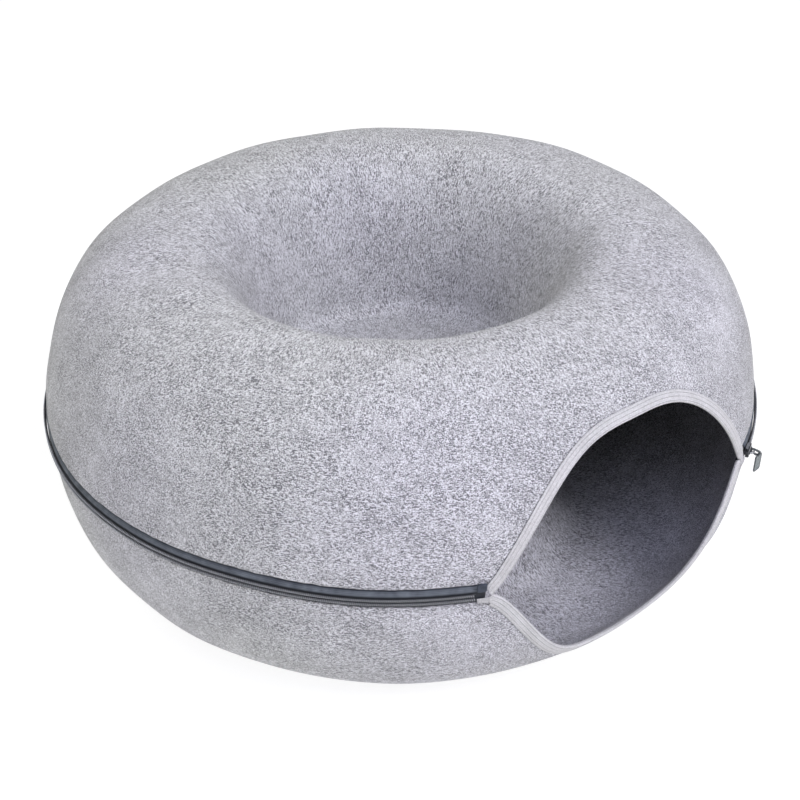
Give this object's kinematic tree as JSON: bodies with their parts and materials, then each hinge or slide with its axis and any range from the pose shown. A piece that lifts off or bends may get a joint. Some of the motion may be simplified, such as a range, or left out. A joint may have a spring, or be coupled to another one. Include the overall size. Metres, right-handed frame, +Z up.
{
  "type": "felt cat tunnel bed",
  "caption": "Ring-shaped felt pet bed with a sunken middle, a closed round tunnel, an eye-shaped bound entrance and a zip round the outside.",
  "frame": {"origin": "middle of the base, on the ring's axis, at the level of the surface that the bed stands on", "axes": "+Z up along the ring's axis; the entrance faces midway between +X and -Y, and the zip slider is on its +X side"},
  "size_m": [0.6059, 0.6062, 0.2823],
  "materials": {
    "felt": "matt moulded needle felt, mixed light grey fibres with dark flecks",
    "binding": "matt fine knit",
    "zip_tape": "matt grey-blue twill",
    "zip_coil": "satin moulded coil",
    "slider": "dark plated, worn at its edges",
    "pull": "brushed nickel plate"
  },
  "bodies": {
    "root": {"upper_shell": "felt", "lower_shell": "felt", "upper_binding": "binding", "lower_binding": "binding", "upper_tape": "zip_tape", "lower_tape": "zip_tape", "upper_coil": "zip_coil", "lower_coil": "zip_coil", "slider_body": "slider", "slider_pull": "pull"}
  },
  "joints": []
}
